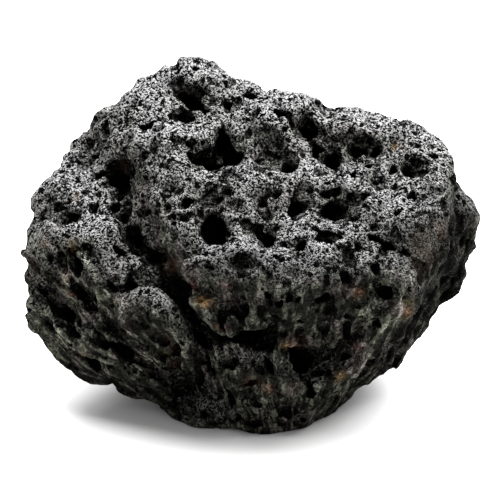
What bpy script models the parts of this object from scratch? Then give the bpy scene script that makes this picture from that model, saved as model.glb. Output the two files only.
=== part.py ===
"""A fist-sized lump of vesicular lava rock, as one closed solid.

Row frame: +X to the right of the show side, +Y to its back, +Z up, with the origin on the floor below
the middle of the rock. Lengths in the tables are millimetres, and the solid itself is in metres.

The show side is looked at from in front and SHOW_ELEVATION above the horizon. Its features are given in
show coordinates: across to the right, up the picture, and near, towards the onlooker, all of them from
the rock's middle.
"""

import math
import random

import bmesh
import bpy
from mathutils import Matrix, Vector, noise
from mathutils.bvhtree import BVHTree

MM = 0.001
NAME = "lava_rock"
COLOUR = (0.055, 0.056, 0.054, 1.0)
ROUGHNESS = 0.72

SHOW_ELEVATION = math.radians(22)
MIDDLE_HEIGHT = 40
FAR = 200

# The outline that the show side has, across and up, clockwise from the peak.
OUTLINE = [
    (-14.5, 46.5), (-8.5, 44.8), (-7.0, 42.2), (-1.5, 40.4), (2.2, 37.6), (8.0, 37.8), (13.7, 37.4),
    (19.0, 34.2), (25.5, 34.2), (28.5, 32.4), (36.0, 33.0), (38.5, 29.6), (45.8, 27.0), (48.8, 22.6),
    (50.0, 18.5), (49.6, 15.0), (53.4, 11.0), (54.9, 6.0), (54.4, -2.0), (51.5, -8.8), (50.4, -12.6),
    (46.6, -14.8), (42.0, -20.5), (40.0, -24.4), (37.0, -26.4), (35.0, -30.5), (31.8, -32.2),
    (26.0, -35.0), (20.5, -39.8), (13.0, -43.6), (3.6, -45.8), (-3.4, -43.2), (-13.2, -43.4),
    (-19.4, -41.0), (-21.8, -37.8), (-28.6, -38.0), (-33.0, -34.4), (-39.6, -33.2), (-47.0, -26.8),
    (-52.4, -19.5), (-53.4, -11.6), (-55.4, -4.6), (-53.6, 3.8), (-52.4, 11.0), (-46.8, 17.0),
    (-45.6, 22.4), (-40.8, 26.4), (-38.0, 32.4), (-30.4, 35.6), (-26.6, 40.4), (-21.6, 42.6),
    (-18.4, 45.2),
]

# The lumps that the rock is welded from, each the hull of its corners. The corners under "show" are
# across, up and near, and those under "back" are in the row frame.
LUMPS = {
    "main_lump": {
        "show": [
            (-14.5, 47.5, -9), (-6, 45.5, -8), (-28, 41, -8), (-41, 32, -6), (1.5, 40, -4),
            (15, 38, -3), (37, 33, -4), (47.5, 27, -5), (51, 19, -6), (46, 13, 12), (47, -2, 10),
            (38, -3, 27), (5, -1, 30), (-13, 0, 28.5), (-23, 7, 22.5), (-26, 17, 14.5), (-31, 22, 8),
            (6, -22, 18), (4, -43, 3), (12, -45, 2), (51.5, -9, -6), (43, -21, -6), (37, -29.5, -6),
            (28, -35, -6), (22, -38.5, -6),
        ],
        "back": [
            (-20, 37, 67), (5, 41, 61), (29, 35, 56), (44, 24, 49), (-40, 28, 52), (-31, 42, 38),
            (4, 46, 36), (33, 38, 32), (47, 20, 30), (-44, 20, 34), (-28, 34, 15), (2, 40, 12),
            (28, 30, 12), (40, 12, 17), (-18, 18, -2), (2, 24, -2), (18, 18, -2), (20, 0, -2),
            (11, -20, -2), (3, -23, -2),
        ],
    },
    "nose": {
        "show": [
            (-15.4, -3.2, 32.5), (-13.8, -13, 31), (-10.6, -17.5, 30), (-6, -21.8, 29),
            (-1.2, -19.8, 30.5), (4.3, -17.6, 32.5), (14, -14.5, 33.5), (24, -12.5, 33), (36, -6, 30),
            (-9, -3, 34.5), (-2.4, -4.6, 36), (6, -7, 37.4), (22, -6.5, 36.2), (34, -4, 32),
            (-8, 6, 22), (28, 6, 22), (0, -10, 15), (20, -8, 15),
        ],
        "back": [],
    },
    "keel": {
        "show": [
            (-9.6, -24, 21.5), (-6.4, -31.3, 17), (-2, -42.2, 9.5), (3.2, -46.5, 7), (9.6, -40, 11),
            (17, -36.6, 13), (23, -33, 15.5), (27, -28.5, 19), (31, -24.5, 22), (36.5, -19.5, 23.5),
            (38.8, -12, 26), (37.5, -4.5, 29), (8.4, -20, 28), (22, -14, 31.5), (-2, -23, 24),
            (20, -5, 12), (4, -28, 0), (30, -10, 5),
        ],
        "back": [],
    },
    "left_lobe": {
        "show": [
            (-49.4, 15.7, -4), (-46, 23.5, -6), (-36, 23, -1), (-31.5, 14.5, 8), (-32, 7, 13.5),
            (-31, 0, 18.5), (-45.8, -1.2, 12), (-54, 4.5, 1), (-56.5, -4.5, 0), (-54, -15.7, -3),
            (-49.5, -26, -5), (-37, -35, -6), (-25, -38.5, -5), (-20, -31, 5), (-17, -24, 13),
            (-31.5, -13.3, 18), (-30, -6, 20.5), (-24, -4, 20),
        ],
        "back": [
            (-48, 14, 46), (-52, 8, 32), (-45, 24, 38), (-40, 26, 22), (-24, 22, 8), (-30, 4, 10),
            (0, 0, 30), (-10, -12, 40),
        ],
    },
    "cheek": {
        "show": [
            (-30.5, -12.5, 21.5), (-24, -9.5, 25), (-18.5, -14.5, 26), (-15.5, -21, 24),
            (-14, -29, 15), (-24, -28, 13), (-31.5, -19.5, 16.5), (-24, -14, 8), (-14, -18, 8),
        ],
        "back": [],
    },
    "right_lobe": {
        "show": [
            (51, 15.5, -8), (55, 11, -8), (56.5, 5.5, -8), (56, -2, -8), (55, -7, -9), (52.5, -13, -9),
            (50, 10, 2), (51, -5, 3), (46, -12, 6),
        ],
        "back": [(46, 24, 46), (50, 20, 34), (44, 30, 28), (38, 10, 14), (30, 0, 40)],
    },
    "foot": {
        "show": [
            (-20.5, -39, -5), (-20.5, -42, -6), (-19, -42.5, 1), (-13, -44.5, 4), (-6, -45, 6),
            (0, -46, 6), (-19, -32, -1), (-7, -30, 7),
        ],
        "back": [
            (-19, -16, -3), (-13, -21, -3), (-6, -23, -3), (-20, 12, -2), (-24, 12, 14), (0, 10, -2),
            (0, 0, 30),
        ],
    },
}
WELD_VOXEL = 1.6
ROUNDING = 3

# Swells of the surface: each one's wavelength and height.
SWELLS = [(19, 1.6), (9, 1.3), (4.5, 0.6)]
OUTLINE_REACH = 16

# Broad rises and dips of the show side: across, up, width, height, turn in degrees, and how far each
# stands out.
RISES = [
    # The peak and the row of hollows under it
    (-12.0, 40.0, 18, 10, -20, 2.0), (-1.0, 37.0, 10, 6, -35, 1.6), (-18.0, 32.5, 14, 8, 25, -2.2),
    (-8.0, 31.0, 14, 7, -20, -2.4), (-22.0, 25.0, 13, 11, 30, 2.0), (-36.0, 27.0, 14, 8, 35, -1.8),
    # The upper part of the top
    (6.0, 29.5, 13, 9, -35, 2.0), (24.0, 27.5, 15, 8, -15, 1.8), (38.0, 24.0, 12, 8, -30, 1.4),
    (-7.0, 21.5, 16, 9, 15, -2.8), (6.0, 20.5, 14, 8, -25, -2.4), (21.0, 21.0, 16, 9, 0, -2.2),
    (33.0, 15.5, 14, 7, -15, -1.6), (13.0, 15.0, 10, 8, 35, 1.4),
    # The middle of the top
    (-0.5, 15.0, 15, 8, -5, 2.8), (-15.0, 17.0, 13, 11, 40, 1.8), (-9.0, 3.5, 18, 16, 0, -3.0),
    (4.0, 2.0, 11, 10, 20, -1.8), (-3.5, 9.0, 12, 6, 20, 1.4), (15.0, 8.0, 13, 11, 0, -2.0),
    (27.0, 9.5, 9, 9, 0, 1.6), (37.0, 6.0, 12, 14, 10, 2.0), (13.0, 2.5, 9, 7, 30, 1.6),
    (24.0, -2.0, 14, 8, -15, 1.4), (41.0, 14.0, 10, 12, 0, -1.6),
    # The valley and the left lobe
    (-30.0, 14.0, 12, 18, 10, -4.0), (-29.0, 21.5, 6, 6, 0, 2.5), (-29.0, 1.0, 9, 12, -30, -4.0),
    (-36.0, 3.5, 11, 11, 0, 2.0), (-45.0, 10.0, 12, 10, 0, 1.2), (-44.0, -17.0, 16, 12, 0, -1.6),
    (-38.0, -24.0, 14, 10, -40, 1.8), (-22.0, -9.0, 6, 14, 35, -2.5),
    # The front
    (15.5, -27.0, 19, 17, 0, -3.2), (40.0, -10.0, 7, 20, 10, 1.0), (2.0, -12.0, 13, 9, 10, 1.2),
    (26.0, -19.0, 13, 8, 20, 1.2), (2.0, -34.0, 9, 12, 20, 1.2), (-14.0, -35.5, 9, 11, 15, -2.6),
    (31.0, -29.0, 18, 5, 55, -1.6),
    # The flow ridges of the left lobe, and the furrows between them
    (-44.6, -6.5, 16, 3.4, -75, 1.3), (-37.5, -7.0, 16, 3.4, -60, 1.3),
    (-28.5, -21.0, 18, 3.4, -58, 1.5), (-34.5, -24.0, 20, 3.4, -60, 1.3),
    (-40.8, -9.0, 14, 3.4, -70, -1.3), (-35.0, -16.5, 18, 3.4, -55, -1.3),
    (-44.5, -14.5, 13, 4.5, -60, -1.6),
    # The rim down the right, and the sunken band beside it
    (45.0, 11.0, 13, 4.5, 95, 1.2), (40.7, -2.5, 17, 4.5, 63, 1.4), (35.8, -15.5, 12, 4.5, 80, 1.2),
    (48.5, 5.0, 20, 5, 80, -1.4), (43.5, -9.0, 14, 5, 60, -1.4),
]

# Broad rises and dips of the hidden sides: azimuth from the back towards the right, elevation, width,
# and how far each stands out.
HIDDEN_RISES = [
    (-42, 28, 30, -5.0), (25, 12, 32, -5.0), (-12, -18, 28, -4.5), (70, 20, 26, -3.5), (92, -22, 24, -4.0),
    (-78, -12, 28, -4.0), (12, 48, 18, -2.5), (-60, -42, 22, -3.5), (0, 32, 18, 3.0), (48, -12, 22, 3.5),
    (-52, 4, 24, 3.5), (110, 5, 20, 2.5), (-100, -25, 18, 2.5), (45, 40, 18, 2.5), (150, -20, 16, -2.5),
]

# Hollows and vesicles of the show side: across, up, width, height, turn in degrees, and depth.
HOLLOWS = [
    # High on the left
    (-13.4, 33.9, 8.6, 4.2, -40, 5), (-5.3, 33.5, 3.6, 2.9, 0, 2), (-15.4, 29.9, 7.2, 3.0, 0, 3),
    (-24.8, 28.7, 3.4, 2.8, 0, 3), (-14.0, 24.3, 3.2, 3.2, 0, 3), (-35.2, 28.4, 3.0, 3.0, 0, 2),
    (-28.9, 33.3, 2.8, 3.2, 0, 2), (-38.6, 20.5, 10.0, 4.8, 20, 2), (-30.1, 15.7, 6.6, 10.4, 10, 7),
    # The boot-shaped hole
    (-6.2, 24.8, 5.0, 7.6, -10, 7), (-9.9, 19.8, 6.4, 5.0, 0, 6), (-3.6, 20.5, 6.8, 5.8, 0, 7),
    # High on the right
    (2.9, 21.7, 11.0, 9.6, 0, 2), (4.3, 23.4, 3.0, 3.0, 0, 3), (9.6, 18.1, 5.4, 4.4, 0, 3),
    (12.3, 27.7, 6.4, 4.4, -45, 6), (19.3, 20.5, 5.0, 4.5, 0, 5), (24.1, 22.2, 3.2, 4.0, 0, 3),
    (29.6, 22.4, 4.4, 3.6, 0, 4), (34.2, 17.8, 2.9, 3.6, 0, 3), (38.1, 17.3, 4.0, 3.0, -40, 3),
    (30.8, 14.9, 7.7, 3.2, 0, 3), (38.3, 11.6, 3.6, 3.4, 0, 3),
    # Across the middle
    (12.5, 9.4, 6.4, 5.4, 0, 6), (21.2, 7.7, 6.2, 5.4, 0, 6), (18.8, 13.3, 3.3, 3.1, 0, 2),
    (2.9, 9.9, 5.0, 3.8, 0, 3), (-3.4, 9.9, 3.8, 2.8, 0, 2), (18.3, 1.0, 4.4, 5.2, 30, 5),
    (32.5, 0.0, 7.4, 3.4, 0, 4), (29.6, -5.5, 3.2, 3.8, 0, 3), (-8.9, 2.4, 9.4, 9.4, 0, 9),
    (4.3, 1.0, 5.9, 5.0, 0, 4), (-1.0, -4.1, 7.4, 6.0, 0, 2), (-15.7, 10.1, 2.8, 3.6, 0, 3),
    # The left lobe
    (-43.4, 6.3, 4.8, 4.8, 0, 3), (-37.3, 8.4, 3.0, 2.8, 0, 2), (-47.0, -2.9, 3.8, 4.5, 0, 3),
    (-40.2, -4.8, 4.6, 3.4, -40, 3), (-28.2, -10.1, 3.0, 5.6, 0, 3), (-33.0, -10.8, 5.4, 3.0, 0, 3),
    (-36.9, -28.2, 3.4, 5.0, 0, 3), (-28.9, -24.3, 5.0, 3.0, 0, 2),
    # The front
    (-1.7, -15.9, 4.8, 3.0, 0, 2), (16.9, -13.0, 4.3, 3.0, 0, 3), (6.7, -14.5, 3.2, 2.8, 0, 2),
    (-10.4, -21.4, 4.6, 7.2, 20, 5), (0.6, -21.4, 9.0, 5.4, 0, 5), (15.5, -27.0, 13.5, 13.0, 0, 2.5),
    (12.8, -27.7, 8.2, 8.4, 0, 9), (0.2, -32.8, 5.2, 2.8, 0, 2), (30.1, -18.8, 3.4, 3.2, 0, 3),
    (32.5, -11.1, 5.0, 3.2, 0, 3), (43.9, -5.5, 5.0, 5.6, 0, 2),
]

# Clefts: their points across and up, and each one's width and depth.
CLEFTS = [
    {
        "path": [(-31, 7), (-28, 1), (-22, -4), (-19.3, -9.6), (-15.2, -19), (-11, -23)],
        "width": 4.6,
        "depth": 2.6,
    },
    {"path": [(7.2, 32.8), (10.1, 29.5), (16.9, 25.3)], "width": 2.8, "depth": 3},
    {"path": [(-4.3, 39.0), (2.9, 34.9)], "width": 2.4, "depth": 2.5},
    {"path": [(-11, 0), (-15.4, -3.6)], "width": 3.0, "depth": 3},
    {"path": [(27, 2.5), (31, 0.5)], "width": 2.4, "depth": 3},
]

# Vesicles of the hidden sides: how many there are, and their least and greatest width.
HIDDEN_VESICLES = 90
VESICLE_WIDTHS = (2.8, 9.5)
SEED = 7

# How far a vesicle strays from a smooth ellipsoid, as a part of its size.
UNEVENNESS = 0.35

CARVED_VOXEL = 0.8
TRIANGLES = 9300
GROUND_SIZE = 200


def show_point(across, up, near):
    """A point of the show side in the row frame, in metres."""
    rise = up * math.cos(SHOW_ELEVATION) + near * math.sin(SHOW_ELEVATION)
    back = up * math.sin(SHOW_ELEVATION) - near * math.cos(SHOW_ELEVATION)
    return Vector((across, back, MIDDLE_HEIGHT + rise)) * MM


def show_coordinates(point):
    """Across, up and near of a point of the row frame, in millimetres."""
    across, back, height = point / MM
    rise = height - MIDDLE_HEIGHT
    up = rise * math.cos(SHOW_ELEVATION) + back * math.sin(SHOW_ELEVATION)
    near = rise * math.sin(SHOW_ELEVATION) - back * math.cos(SHOW_ELEVATION)
    return across, up, near


ACROSS = Vector((1, 0, 0))
UP = Vector((0, math.sin(SHOW_ELEVATION), math.cos(SHOW_ELEVATION)))
NEAR = Vector((0, -math.cos(SHOW_ELEVATION), math.sin(SHOW_ELEVATION)))


def clear_scene():
    for obj in list(bpy.data.objects):
        bpy.data.objects.remove(obj)


def new_collection(name):
    collection = bpy.data.collections.new(name)
    bpy.context.scene.collection.children.link(collection)
    return collection


def new_object(name, shape, collection):
    """An object that holds the bmesh."""
    mesh = bpy.data.meshes.new(name)
    shape.to_mesh(mesh)
    shape.free()
    obj = bpy.data.objects.new(name, mesh)
    collection.objects.link(obj)
    return obj


def as_cutter(obj):
    obj.hide_render = True
    obj.display_type = "WIRE"
    return obj


def hull(name, corners, collection):
    shape = bmesh.new()
    for corner in corners:
        shape.verts.new(corner)
    made = bmesh.ops.convex_hull(shape, input=shape.verts)
    left_over = made["geom_interior"] + made["geom_unused"]
    inside = {item for item in left_over if isinstance(item, bmesh.types.BMVert)}
    bmesh.ops.delete(shape, geom=list(inside), context="VERTS")
    bmesh.ops.recalc_face_normals(shape, faces=shape.faces)
    return new_object(name, shape, collection)


def lump(name, corners, collection):
    points = [show_point(*corner) for corner in corners["show"]]
    points += [Vector(corner) * MM for corner in corners["back"]]
    return hull(name, points, collection)


def apply_modifiers(obj):
    graph = bpy.context.evaluated_depsgraph_get()
    made = bpy.data.meshes.new_from_object(obj.evaluated_get(graph))
    obj.modifiers.clear()
    obj.data = made


def weld(rock, lumps):
    """Joins the lumps to the rock and rounds the whole."""
    for other in lumps:
        union = rock.modifiers.new(other.name, "BOOLEAN")
        union.operation = "UNION"
        union.object = other
    remesh = rock.modifiers.new("weld", "REMESH")
    remesh.mode = "VOXEL"
    remesh.voxel_size = WELD_VOXEL * MM
    rounding = rock.modifiers.new("rounding", "SMOOTH")
    rounding.iterations = ROUNDING
    apply_modifiers(rock)


def push(mesh, rise_at):
    """Moves each point along its normal by what rise_at gives for it, in millimetres."""
    moved = [vertex.co + vertex.normal * rise_at(vertex) * MM for vertex in mesh.vertices]
    for vertex, place in zip(mesh.vertices, moved):
        vertex.co = place


def swell(vertex):
    rise = 0
    for layer, (wavelength, height) in enumerate(SWELLS):
        place = vertex.co / (wavelength * MM) + Vector((layer * 31.7, 0, 0))
        rise += height * noise.noise(place)
    return rise


def show_rise(vertex):
    """How far the broad rises and dips of the show side lift the point."""
    across, up, near = show_coordinates(vertex.co)
    total = 0
    for middle_across, middle_up, width, height, turn, rise in RISES:
        angle = math.radians(turn)
        right = across - middle_across
        above = up - middle_up
        along = (right * math.cos(angle) + above * math.sin(angle)) / width
        beside = (above * math.cos(angle) - right * math.sin(angle)) / height
        total += rise * math.exp(-4 * (along**2 + beside**2))
    facing = vertex.normal.dot(NEAR)
    return total * min(1, max(0, 2 * facing + 0.4))


def from_middle(azimuth, elevation):
    """The direction from the rock's middle at an azimuth from the back and an elevation."""
    level = math.cos(math.radians(elevation))
    back = math.cos(math.radians(azimuth)) * level
    across = math.sin(math.radians(azimuth)) * level
    return Vector((across, back, math.sin(math.radians(elevation))))


def surface_of(mesh):
    return BVHTree.FromPolygons(
        [vertex.co for vertex in mesh.vertices], [face.vertices for face in mesh.polygons]
    )


def outer_hit(surface, direction):
    """The outermost place and its normal in a direction from the rock's middle."""
    start = Vector((0, 0, MIDDLE_HEIGHT * MM)) + direction * FAR * MM
    return surface.ray_cast(start, -direction)[:2]


def raise_hidden_ground(mesh):
    """Lifts and lowers the hidden sides by their broad rises and dips."""
    surface = surface_of(mesh)
    rises = [
        (outer_hit(surface, from_middle(azimuth, elevation))[0], width * MM, rise)
        for azimuth, elevation, width, rise in HIDDEN_RISES
    ]

    def rise_at(vertex):
        return sum(
            rise * math.exp(-4 * ((vertex.co - place).length / width) ** 2) for place, width, rise in rises
        )

    push(mesh, rise_at)


def outline_radius(turn):
    """How far the outline is from the middle in the direction of the turn, in radians from across."""
    direction = Vector((math.cos(turn), math.sin(turn)))
    side = Vector((-direction.y, direction.x))
    corners = [Vector(corner) for corner in OUTLINE]
    for start, end in zip(corners, corners[1:] + corners[:1]):
        before = start.dot(side)
        after = end.dot(side)
        if before * after > 0 or before == after:
            continue
        crossing = start.lerp(end, before / (before - after)).dot(direction)
        if crossing > 0:
            return crossing
    return 0


def fit_outline(mesh):
    """Scales the rim of the rock about its middle until the show side has the outline."""
    steps = 180
    rim = [(0, 0)] * steps
    places = [show_coordinates(vertex.co) for vertex in mesh.vertices]
    for across, up, near in places:
        step = int(steps * (math.atan2(up, across) / math.tau % 1)) % steps
        rim[step] = max(rim[step], (math.hypot(across, up), near))
    targets = [outline_radius(math.tau * (step + 0.5) / steps) for step in range(steps)]
    for vertex, (across, up, near) in zip(mesh.vertices, places):
        position = steps * (math.atan2(up, across) / math.tau % 1) - 0.5
        first = math.floor(position)
        part = position - first
        first_rim, next_rim = rim[first % steps], rim[(first + 1) % steps]
        radius = first_rim[0] * (1 - part) + next_rim[0] * part
        rim_near = first_rim[1] * (1 - part) + next_rim[1] * part
        target = targets[first % steps] * (1 - part) + targets[(first + 1) % steps] * part
        weight = (math.hypot(across, up) / radius) ** 2
        weight *= math.exp(-(((near - rim_near) / OUTLINE_REACH) ** 2))
        scale = 1 + (target / radius - 1) * weight
        vertex.co = show_point(across * scale, up * scale, near)


def bubble(shape, place, axes, lengths):
    """Adds an uneven ellipsoid to the bmesh, with its half axes along the given directions."""
    ball = bmesh.ops.create_icosphere(shape, subdivisions=2, radius=1)
    turn = Matrix(axes).transposed()
    for vertex in ball["verts"]:
        unevenness = 1 + UNEVENNESS * noise.noise(vertex.co * 1.5 + place / MM)
        vertex.co = place + turn @ (vertex.co * unevenness * Vector(lengths))


def show_hit(surface, across, up):
    """The place of the show side at across and up."""
    return surface.ray_cast(show_point(across, up, FAR), -NEAR)[0]


def add_hollow(shape, surface, across, up, width, height, turn, depth):
    place = show_hit(surface, across, up)
    angle = math.radians(turn)
    along = ACROSS * math.cos(angle) + UP * math.sin(angle)
    beside = NEAR.cross(along)
    bubble(shape, place, (along, beside, NEAR), (width / 2 * MM, height / 2 * MM, depth * MM))


def add_cleft(shape, surface, path, width, depth):
    for start, end in zip(path, path[1:]):
        length = math.dist(start, end)
        count = max(1, round(length / width))
        along = (ACROSS * (end[0] - start[0]) + UP * (end[1] - start[1])).normalized()
        for step in range(count + 1):
            across = start[0] + (end[0] - start[0]) * step / count
            up = start[1] + (end[1] - start[1]) * step / count
            place = show_hit(surface, across, up)
            lengths = (width * MM, width / 2 * MM, depth * MM)
            bubble(shape, place, (along, NEAR.cross(along), NEAR), lengths)


def add_hidden_vesicles(shape, surface, draw):
    """Scatters vesicles over the back, the sides and the underside."""
    least, most = VESICLE_WIDTHS
    made = []
    while len(made) < HIDDEN_VESICLES:
        direction = Vector((draw.gauss(0, 1), draw.gauss(0, 1), draw.gauss(0, 1))).normalized()
        width = least * (most / least) ** (draw.random() ** 2)
        squash = draw.uniform(0.6, 1.0)
        turn = draw.uniform(0, math.pi)
        place, normal = outer_hit(surface, direction)
        crowded = any((place - other).length < (width + wide) * 0.62 * MM for other, wide in made)
        if normal.dot(NEAR) > -0.15 or place.z < 6 * MM or crowded:
            continue
        made.append((place, width))
        across = normal.orthogonal().normalized()
        across.rotate(Matrix.Rotation(turn, 3, normal))
        lengths = (width / 2 * MM, width / 2 * squash * MM, width * 0.55 * MM)
        bubble(shape, place, (across, normal.cross(across), normal), lengths)


def vesicles(rock, collection):
    """The cutter of every hollow, cleft and vesicle."""
    surface = surface_of(rock.data)
    shape = bmesh.new()
    for hollow in HOLLOWS:
        add_hollow(shape, surface, *hollow)
    for cleft in CLEFTS:
        add_cleft(shape, surface, cleft["path"], cleft["width"], cleft["depth"])
    add_hidden_vesicles(shape, surface, random.Random(SEED))
    return as_cutter(new_object("vesicles", shape, collection))


def carve(rock, cutter):
    """Cuts the vesicles, softens their lips and lowers the number of triangles."""
    cut = rock.modifiers.new("vesicles", "BOOLEAN")
    cut.operation = "DIFFERENCE"
    cut.object = cutter
    cut.use_self = True
    remesh = rock.modifiers.new("carved", "REMESH")
    remesh.mode = "VOXEL"
    remesh.voxel_size = CARVED_VOXEL * MM
    apply_modifiers(rock)
    triangles = sum(len(face.vertices) - 2 for face in rock.data.polygons)
    fewer = rock.modifiers.new("fewer", "DECIMATE")
    fewer.ratio = TRIANGLES / triangles
    fewer.use_collapse_triangulate = True
    apply_modifiers(rock)


def stand_flat(rock, collection):
    """Cuts the facet that the rock rests on."""
    shape = bmesh.new()
    bmesh.ops.create_cube(shape, size=GROUND_SIZE * MM)
    ground = as_cutter(new_object("ground", shape, collection))
    ground.location.z = -GROUND_SIZE / 2 * MM
    cut = rock.modifiers.new("ground", "BOOLEAN")
    cut.operation = "DIFFERENCE"
    cut.object = ground


def centre(mesh):
    """Puts the middle of the rock's bounding box above the origin."""
    for axis in (0, 1):
        places = [vertex.co[axis] for vertex in mesh.vertices]
        middle = (min(places) + max(places)) / 2
        for vertex in mesh.vertices:
            vertex.co[axis] -= middle


def stone():
    material = bpy.data.materials.new("basalt")
    material.use_nodes = True
    shader = material.node_tree.nodes["Principled BSDF"]
    shader.inputs["Base Color"].default_value = COLOUR
    shader.inputs["Roughness"].default_value = ROUGHNESS
    return material


def make_rock():
    parts = new_collection(NAME)
    cutters = new_collection("cutters")
    lumps = [lump(name, corners, cutters) for name, corners in LUMPS.items()]
    rock = lumps[0].copy()
    rock.name = NAME
    parts.objects.link(rock)
    for other in lumps:
        as_cutter(other)
    weld(rock, lumps[1:])
    push(rock.data, swell)
    raise_hidden_ground(rock.data)
    push(rock.data, show_rise)
    fit_outline(rock.data)
    carve(rock, vesicles(rock, cutters))
    centre(rock.data)
    stand_flat(rock, cutters)
    rock.data.materials.clear()
    rock.data.materials.append(stone())


clear_scene()
make_rock()
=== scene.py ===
"""The looks of the lava rock: its fine surface, its stone and a plain studio around it.

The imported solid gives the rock's form. Its distance field is filled into a box of voxels, where
crests, furrows, uneven hollows, thousands of gas bubbles and rough cells are worked into it, and the
surface is read back as one closed mesh. Lengths are millimetres until that mesh is made, which is in
metres.

Show coordinates place what the side towards the camera has: across to the right, up the picture and near,
towards the camera, from the rock's middle.
"""

import math

import bmesh
import bpy
import numpy as np
import openvdb
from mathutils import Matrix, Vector


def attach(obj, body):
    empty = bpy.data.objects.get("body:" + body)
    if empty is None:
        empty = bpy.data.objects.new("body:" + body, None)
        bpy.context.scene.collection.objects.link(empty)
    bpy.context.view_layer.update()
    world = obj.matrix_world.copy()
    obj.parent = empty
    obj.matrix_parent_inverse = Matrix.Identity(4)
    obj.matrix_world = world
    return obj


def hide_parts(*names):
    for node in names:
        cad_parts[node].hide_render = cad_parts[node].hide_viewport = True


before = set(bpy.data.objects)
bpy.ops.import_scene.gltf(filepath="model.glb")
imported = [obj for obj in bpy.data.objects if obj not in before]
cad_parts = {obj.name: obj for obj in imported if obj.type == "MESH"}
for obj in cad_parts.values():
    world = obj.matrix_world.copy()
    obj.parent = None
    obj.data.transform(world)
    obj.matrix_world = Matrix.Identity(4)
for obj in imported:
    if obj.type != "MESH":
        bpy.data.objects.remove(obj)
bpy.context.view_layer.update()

MM = 0.001
NODE = "lava_rock"
MOST_TRIANGLES = 196000

# The voxels, and how far their box goes on around the solid.
VOXEL = 0.4
MARGIN = 3.2

# Show coordinates: how high the camera looks down from, the three directions, the rock's middle, which
# they count from, and how far they go on each side of it.
SHOW_ELEVATION = math.radians(22)
ACROSS = np.array([1.0, 0.0, 0.0])
UP = np.array([0.0, math.sin(SHOW_ELEVATION), math.cos(SHOW_ELEVATION)])
NEAR = np.array([0.0, -math.cos(SHOW_ELEVATION), math.sin(SHOW_ELEVATION)])
MIDDLE = np.array([0.05, -2.73, 40.0])
SHOW_REACH = 60.0

# The seeds of the random draws. Each further layer of a noise takes the next seed. The three fields of
# the warp do too, and each of its layers starts this step on from the one before.
BUBBLE_SEED = 11
CUP_SEED = 12
LUMP_SEED = 21
CELL_SEED = 31
FINE_CELL_SEED = 36
PORE_SEED = 41
STREAK_SEED = 51
WARP_SEED = 11
WARP_SEED_STEP = 100

# Noise: what brings it to about -1 to 1, where in its lattice the box starts, and how many points the
# lattice has more than the box is long in steps.
NOISE_GAIN = 2.4
LATTICE_START = 1.5
LATTICE_SPARE = 5
# How many times its reach a blur goes out to.
BLUR_TAIL = 2.5
# How far around a place its slope is read.
SLOPE_REACH = 2.5

# How far the solid's facets are smoothed away, what that would take off the rock, and the lumps put in the
# facets' place: wavelength and height.
FACET_BLUR = 0.75
SWELLING = 0.9
LUMPS = [(9.0, 0.7), (4.6, 0.5)]
# The warp that makes hollows and bubbles uneven: wavelength and reach, the half length from which a
# hollow takes it in full, and the room left for it around each.
WARPS = [(5.0, 1.3), (2.2, 0.6), (1.2, 0.35)]
WARP_FULL_SIZE = 3.0
WARP_ROOM = 2.0
# The crust's cells, round hollows with sharp crests between them: wavelength and height. The fine ones
# are cut after the large hollows, so that these have broken edges. Where the noise is this near to 0 the
# surface rises, and elsewhere it sinks.
CELLS = [(5.2, 0.8)]
FINE_CELLS = [(2.6, 0.6), (1.5, 0.35)]
CELL_LEVEL = 0.3
# How soon what faces up has all of the fine cells, of the pores and of what is strewn, and what share of
# the first two the sides keep.
UPWARD_GAIN = 2
LEAST_UPWARD = 0.3
# Ridges down the sides towards where the skin was drawn: how far apart they are, how long, and their
# height.
STREAKS = [(5.4, 22.0, 1.6), (2.8, 12.0, 1.3), (1.6, 7.0, 0.45)]
# How far from the surface they are worked, the distance at which they are that far apart, and the size
# of the lattice that they are drawn from.
STREAK_BAND = 3.0
STREAK_SPREAD = 60.0
STREAK_LATTICE = 128
# How high a ridge's crest is and how much it falls off, as shares of that height.
STREAK_CREST = 0.5
STREAK_FALL = 1.6
# They are in full on what is upright or faces down, and fade out as the surface turns up.
STREAK_STEEP = 1.1
STREAK_LEVEL = 1.8
# Where the skin was drawn towards while it was soft. The ridges and the cups on the sides run that way.
DRAWN_TO = np.array([6.0, -4.0, -25.0])
# Ragged pores: the wavelengths that they are mixed from and the share of each, how much of the surface
# they leave, how deep they go for what is over that, and where they stop.
PORE_LAYERS = [(3.4, 0.65), (1.7, 0.45)]
PORE_THRESHOLD = 0.27
PORE_DEPTH = 3.0
PORE_FLOOR = 0.35

# What is strewn over the whole rock: how many, least and greatest radius, how much the small ones
# outnumber the large, depth for the radius, how far sunk into the surface, how long on the sides, and
# what share of them the sides keep.
CUPS = {
    "count": 900, "least": 1.6, "most": 4.2, "bias": 1.8,
    "depth": 0.5, "sink": -0.55, "longer": 3.0, "side_share": 0.6,
}
BUBBLES = {
    "count": 5200, "least": 0.45, "most": 1.3, "bias": 2.2,
    "depth": 1.1, "sink": 0.2, "longer": 1.5, "side_share": 0.25,
}
# How much these differ in how far they are sunk, and in each of their three lengths.
SINK_SPREAD = 0.2
LENGTH_SPREAD = (0.7, 1.15)

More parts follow.
